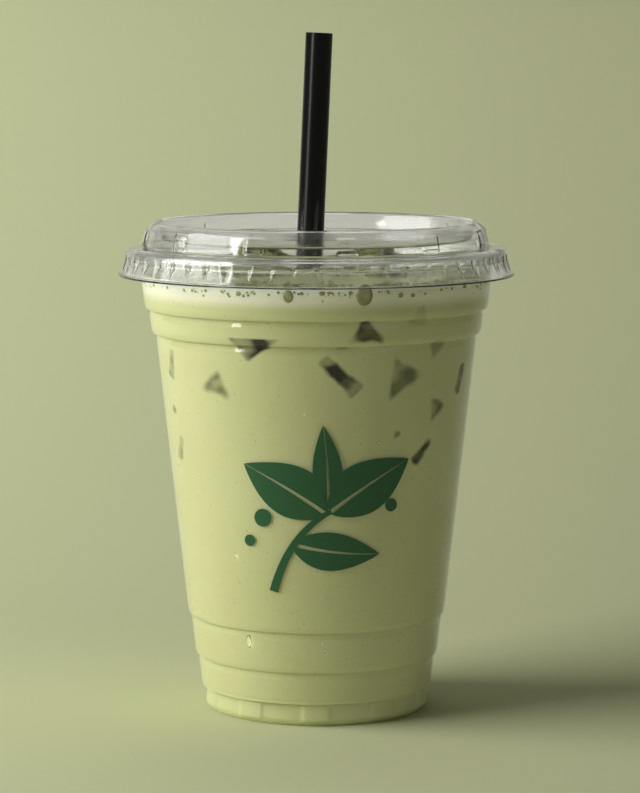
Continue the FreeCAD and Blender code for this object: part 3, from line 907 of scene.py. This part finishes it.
def facing_out(sheet):
    """The sheet, turned over where its columns and rows run clockwise."""
    run, rise = sheet[:, 1:] - sheet[:, :-1], sheet[1:] - sheet[:-1]
    turn = run[:-1, :, 0] * rise[:, :-1, 1] - run[:-1, :, 1] * rise[:, :-1, 0]
    return sheet if turn.sum() > 0 else sheet[:, ::-1]


def make_print(material):
    """A sprig of tea printed on the cup: two large leaves and a bud on a curved stalk, a
    third leaf low down, and three spots. The flat design is wrapped round the wall."""
    sheets = [stalk([(-13, -23.5), (-9, -8), (1.5, -2.5)], 2.3)]
    sheets += leaf((0.5, -3.5), 143, 25, 13.5, 3.0, 1.1)
    sheets += leaf((1.0, -3.0), 38, 25, 13.5, -3.0, 1.1)
    sheets += leaf((0.8, -1.5), 90, 21, 7.5, 1.5, 0.8)
    sheets += leaf((-8.6, -11.0), -14, 23, 10.0, 2.6, 1.0)
    sheets += [spot((-16.0, -4.5), 2.3), spot((-19.6, -10.6), 1.5), spot((17.5, -1.6), 1.7)]
    faces, points, start = [], [], 0
    for sheet in map(facing_out, sheets):
        rows, columns = sheet.shape[:2]
        across, up = sheet[..., 0], sheet[..., 1]
        at = on_wall(PRINT_ANGLE, PRINT_HEIGHT, across, up, 0.025, outside_radius)
        points.append(at.reshape(-1, 3))
        faces.append(quads(rows, columns, wrap_columns=False, start=start))
        start += rows * columns
    piece = piece_from("leaf_print", np.vstack(points), faces, material)
    edges = np.zeros(len(piece.data.loops), np.int32)
    piece.data.loops.foreach_get("edge_index", edges)
    rim = np.bincount(edges, minlength=len(piece.data.edges)) == 1
    piece.data.edges.foreach_set("use_edge_sharp", rim)
    thickness = piece.modifiers.new("ink", "SOLIDIFY")
    thickness.thickness = 0.03 * MM
    thickness.offset = 1
    return piece


# ---- materials ----------------------------------------------------------------------------

def clear_plastic(name, tint, roughness, waviness):
    """Clear PET, thermoformed from sheet: bright soft-edged highlights, and a faint waviness
    left by the mould. Lamps shine through it, as thin walls let them."""
    material, tree = new_material(name)
    wave = noise(tree, object_place(tree), 0.009, Detail=1.0)
    body = principled(tree, tint, Normal=bumped(tree, wave, waviness, 0.0004),
                      Transmission_Weight=1.0, Roughness=roughness, IOR=1.57)
    path = add(tree, "ShaderNodeLightPath").outputs
    lamps = number(tree, "MAXIMUM", path["Is Shadow Ray"], path["Is Diffuse Ray"])
    return finish_material(tree, mix_shaders(tree, lamps, body, transparent(tree, "#F4F6F2")),
                           material)


MILK = "#C9C98F"
MILK_PALE = "#D3D3A2"
# Painted shade where ice presses on the drink's wall, standing in for the dim view into clear ice:
# dark and grey in patches.
SUNK_ICE_SHADE_DARK = "#1E1C04"
SUNK_ICE_SHADE_GREY = "#69682F"
# Drink's side near its top: partly a pale froth, partly painted light standing in for light that
# comes in through the surface.
FROTH_AND_GLOW_AT_WALL = "#F2EFDA"
FROTH_TOP = "#D2D2A4"
FROTH_LOW, FROTH_HIGH = 107.5, 110.8
ICE_WEAR = 0.0016


def milky_tea(name, at_wall):
    """Matcha stirred into milk: opaque, even and soft, lit a little from within, with slow
    swirls where the powder is thicker. A paler froth lies on top, worn thin in places. At
    the wall the top few millimetres turn paler still: partly froth, partly painted light that
    stands in for light coming in through the surface. Where ice under the surface presses on
    the wall, shade is painted on as dark patches with soft, worn edges, standing in for the
    dim view into clear ice, and veiled here and there by milk."""
    material, tree = new_material(name)
    place = object_place(tree)
    swirl = noise(tree, place, 0.03, Detail=2.0, Distortion=0.6)
    milk = blend(tree, swirl, MILK, MILK_PALE)
    up = add(tree, "ShaderNodeSeparateXYZ", Vector=place).outputs["Z"]
    # Towards the top the drink turns to froth; at the wall that band is also painted light
    # standing in for light that comes in through the surface.
    froth = soft_ramp(tree, up, FROTH_LOW, FROTH_HIGH, 0.0, 1.0)
    colour = blend(tree, froth, milk, FROTH_AND_GLOW_AT_WALL if at_wall else FROTH_TOP)
    if at_wall:
        # Painted shade where ice presses on the wall, mottled dark and grey, veiled by milk in
        # places.
        shade_mottle = noise(tree, place, 0.0052, Detail=4.0)
        shade = blend(tree, ramp(tree, shade_mottle, 0.46, 0.68, kind="LINEAR"), SUNK_ICE_SHADE_DARK, SUNK_ICE_SHADE_GREY)
        worn = noise(tree, place, 0.005, "Color", Detail=2.0)
        shift = vector(tree, "MULTIPLY_ADD", worn, (ICE_WEAR,) * 3, place)
        back = vector(tree, "SUBTRACT", shift, (ICE_WEAR / 2,) * 3)
        veil = noise(tree, back, 0.007, Detail=1.0)
        share = number(tree, "MULTIPLY", all_sunk_ice_shade(tree, back, up),
                       ramp(tree, veil, 0.38, 0.6, 1.0, 0.45))
        colour = blend(tree, share, colour, shade)
    else:
        cover = noise(tree, place, 0.014, Detail=5.0)
        colour = blend(tree, ramp(tree, cover, 0.4, 0.62, 0.75, 0.0), colour, milk)
    body = principled(
        tree, colour, Roughness=0.65 if at_wall else 0.3, IOR=1.43 if at_wall else 1.35,
        Specular_IOR_Level=0.2 if at_wall else 0.5, Subsurface_Weight=0.6,
        Subsurface_Radius=(1.0, 0.95, 0.45), Subsurface_Scale=5 * MM)
    return finish_material(tree, body, material)


def black_plastic():
    """Polypropylene, extruded as a thin tube: deep black with a soft satin streak."""
    material, tree = new_material("extruded_black_polypropylene")
    lines = add(tree, "ShaderNodeMapping", Vector=object_place(tree), Scale=(1.0, 1.0, 0.04))
    drawn = noise(tree, lines.outputs[0], 0.0006, Detail=2.0)
    body = principled(tree, "#050506", Normal=bumped(tree, drawn, 0.08, 0.0001),
                      Roughness=0.28, Specular_IOR_Level=0.4, IOR=1.49)
    return finish_material(tree, body, material)


def melting_ice():
    """Ice, frozen clear and half melted: glassy and wet, with dark olive streaks that are
    painted shade, standing in for the shaded drink seen through clear ice. The same noise
    raises bumps, which catch the light."""
    material, tree = new_material("melting_clear_ice")
    cracks = noise(tree, object_place(tree), 0.004, Detail=4.0, Distortion=0.8)
    # Dark olive streaks: painted shade of the drink seen through the ice.
    streak = ramp(tree, cracks, 0.38, 0.56, kind="LINEAR")
    body = principled(tree, blend(tree, streak, "#C4C684", "#44440F"),
                      Normal=bumped(tree, cracks, 0.35, 0.0008), Transmission_Weight=0.35,
                      Roughness=0.06, IOR=1.36)
    return finish_material(tree, body, material)


def bubble_film():
    """Milk foam film: a skin so thin that only its sheen shows, most at its edges."""
    material, tree = new_material("milk_foam_film")
    sheen = add(tree, "ShaderNodeFresnel", IOR=1.45).outputs[0]
    gloss = add(tree, "ShaderNodeBsdfGlossy", Color=(1, 1, 1, 1), Roughness=0.05).outputs[0]
    film = mix_shaders(tree, sheen, transparent(tree, "#E9EBD2"), gloss)
    return finish_material(tree, film, material)


def bubble_window():
    """Air bubbles in milk against a clear wall: dark, since the light goes in and does not
    come back, and uneven where the milk closes over them."""
    material, tree = new_material("foam_against_clear_wall")
    cells = noise(tree, object_place(tree), 0.002, Detail=1.0)
    body = principled(tree, blend(tree, cells, "#6A6832", "#B4B280"), Roughness=0.3)
    return finish_material(tree, body, material)


def water():
    """Water condensed from the air: small clear beads that bend what is behind them."""
    material, tree = new_material("condensed_water")
    body = principled(tree, "#FAFBF7", Transmission_Weight=1.0, Roughness=0.02, IOR=1.33)
    path = add(tree, "ShaderNodeLightPath").outputs
    clear = mix_shaders(tree, path["Is Shadow Ray"], body, transparent(tree))
    return finish_material(tree, clear, material)


def green_ink():
    """UV-cured ink, screen printed on PET: a dense flat green with a slight gloss and a
    barely uneven cover."""
    material, tree = new_material("screen_printed_green_ink")
    cover = noise(tree, object_place(tree), 0.0008, Detail=2.0)
    body = principled(tree, blend(tree, cover, "#1D4E2B", "#235833"), Roughness=0.38)
    return finish_material(tree, body, material)


def plain_backdrop():
    """Painted board, rolled matt: one pale sage colour. Clear plastic sees it paler and
    greyer, and gloss partly so, a painted whitish sheen in the lid and cup. It thins out to
    nothing well away from the cup, and seen from behind it isn't there."""
    material, tree = new_material("matt_painted_board")
    path = add(tree, "ShaderNodeLightPath").outputs
    gloss = number(tree, "MULTIPLY", path["Is Glossy Ray"], 0.4)
    seen = number(tree, "MAXIMUM", gloss, path["Is Transmission Ray"])
    # The paler neutral that clear plastic and gloss see is a painted sheen for the lid and cup.
    body = principled(tree, blend(tree, seen, "#CCD0A4", "#EEEDE2"), Roughness=0.9)
    reach = vector(tree, "DISTANCE", object_place(tree), (0.0, 0.15, 0.0))
    far = soft_ramp(tree, reach, 430, 640, 0.0, 1.0)
    back = add(tree, "ShaderNodeNewGeometry").outputs["Backfacing"]
    board = mix_shaders(tree, number(tree, "MAXIMUM", far, back), body, transparent(tree))
    return finish_material(tree, board, material)


# ---- the object -----------------------------------------------------------------------------

cup = make_cup(clear_plastic("thermoformed_clear_PET_cup", "#FBFCF8", 0.1, 0.12))
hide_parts("cup")

lid = make_lid(clear_plastic("thermoformed_clear_PET_lid", "#FCFCFC", 0.075, 0.5))
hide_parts("lid")

straw = make_straw(black_plastic())
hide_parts("straw")

drink = make_drink(milky_tea("matcha_in_milk_at_wall", True),
                   milky_tea("matcha_in_milk_surface", False))
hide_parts("drink")

ice_material = melting_ice()
lumps = []
for seed, node in enumerate(FLOATING, start=40):
    lump = make_floating_ice(node, ice_material, seed)
    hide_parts(node)
    lumps.append(lump)

bubbles = make_wall_bubbles(bubble_window())
froth = make_froth(bubble_film())
drops = make_drops(water())
ink = make_print(green_ink())
for piece in [cup, lid, straw, drink, bubbles, froth, drops, ink] + lumps:
    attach(piece, "root")


# ---- floor, light and camera ------------------------------------------------------------------

SENSOR = 36.0
FOCAL_SHARE = 3000 / 793          # focal length as a share of the sensor
CAMERA_PLACE = (0.94, -779.5, 172.95)
CAMERA_TILT = 6.683
BACKDROP_BEND = 420.0
BACKDROP_BEHIND = 110.0


def make_backdrop():
    """Floor that curves up into a wall behind: a profile of a straight, a quarter circle and
    a straight, carried across."""
    profile = np.vstack([
        [(-1500.0, 0.0)],
        arc((BACKDROP_BEHIND, BACKDROP_BEND), BACKDROP_BEND, -90, 0, 33),
        [(BACKDROP_BEHIND + BACKDROP_BEND, 600.0)],
    ])
    across = np.linspace(-2500, 2500, 9)[None, :]
    x = across + 0 * profile[:, :1]
    points = np.stack([x, profile[:, :1] + 0 * across, profile[:, 1:] + 0 * across], -1)
    rows, columns = x.shape
    floor = piece_from("backdrop", points, [quads(rows, columns, wrap_columns=False)],
                       plain_backdrop())


def add_lamp(name, place, aim, width, height, watts, shines=True):
    """Soft rectangular white lamp at a place, turned to face a point, which gloss shows
    only where shines is set. Millimetres."""
    lamp = bpy.data.lights.new(name, "AREA")
    lamp.shape = "RECTANGLE"
    lamp.size, lamp.size_y = width * MM, height * MM
    lamp.energy = watts
    holder = bpy.data.objects.new(name, lamp)
    holder.location = Vector(place) * MM
    way = Vector(aim) - Vector(place)
    holder.rotation_euler = way.to_track_quat("-Z", "Y").to_euler()
    holder.visible_glossy = shines
    bpy.context.scene.collection.objects.link(holder)


def add_camera():
    """Camera a little above the lid's height, looking slightly down at the cup."""
    lens = bpy.data.cameras.new("camera")
    lens.sensor_width = SENSOR
    lens.lens = FOCAL_SHARE * SENSOR
    camera = bpy.data.objects.new("camera", lens)
    camera.location = Vector(CAMERA_PLACE) * MM
    camera.rotation_euler = (math.radians(90 - CAMERA_TILT), 0, 0)
    bpy.context.scene.collection.objects.link(camera)
    bpy.context.scene.camera = camera


def add_world():
    """Even surroundings. They light the cup at a low level. The view sees a pale sage there,
    clear plastic a paler neutral, and gloss that neutral at a lower level."""
    world = bpy.data.worlds.new("studio")
    world.use_nodes = True
    tree = world.node_tree
    tree.nodes.clear()
    path = add(tree, "ShaderNodeLightPath").outputs
    colour = blend(tree, path["Is Camera Ray"], "#DCDDCA", "#ECF0C4")
    level = add(tree, "ShaderNodeMix", in0=path["Is Glossy Ray"], in2=0.5, in3=0.2).outputs[0]
    pale = add(tree, "ShaderNodeBackground", Color=colour, Strength=level).outputs[0]
    room = add(tree, "ShaderNodeBackground", Color=tone("#DADCD0"), Strength=0.04).outputs[0]
    indirect = number(tree, "MAXIMUM", path["Is Glossy Ray"], path["Is Transmission Ray"])
    seen = number(tree, "MAXIMUM", path["Is Camera Ray"], indirect)
    add(tree, "ShaderNodeOutputWorld", Surface=mix_shaders(tree, seen, room, pale))
    bpy.context.scene.world = world


make_backdrop()
add_lamp("key", (-837, -122, 435), (0, 0, 70), 700, 810, 10.8, shines=False)
add_lamp("glint", (-560, -400, 290), (0, 0, 110), 80, 420, 1.0)
add_lamp("fill", (560, -600, 130), (0, 0, 60), 420, 300, 0.8, shines=False)
add_lamp("top", (40, 120, 560), (0, 0, 100), 220, 140, 0.16)
add_lamp("strip", (0, 400, 330), (0, 0, 110), 760, 190, 0.12)
add_camera()
add_world()

view = bpy.context.scene.view_settings
view.view_transform = "Standard"
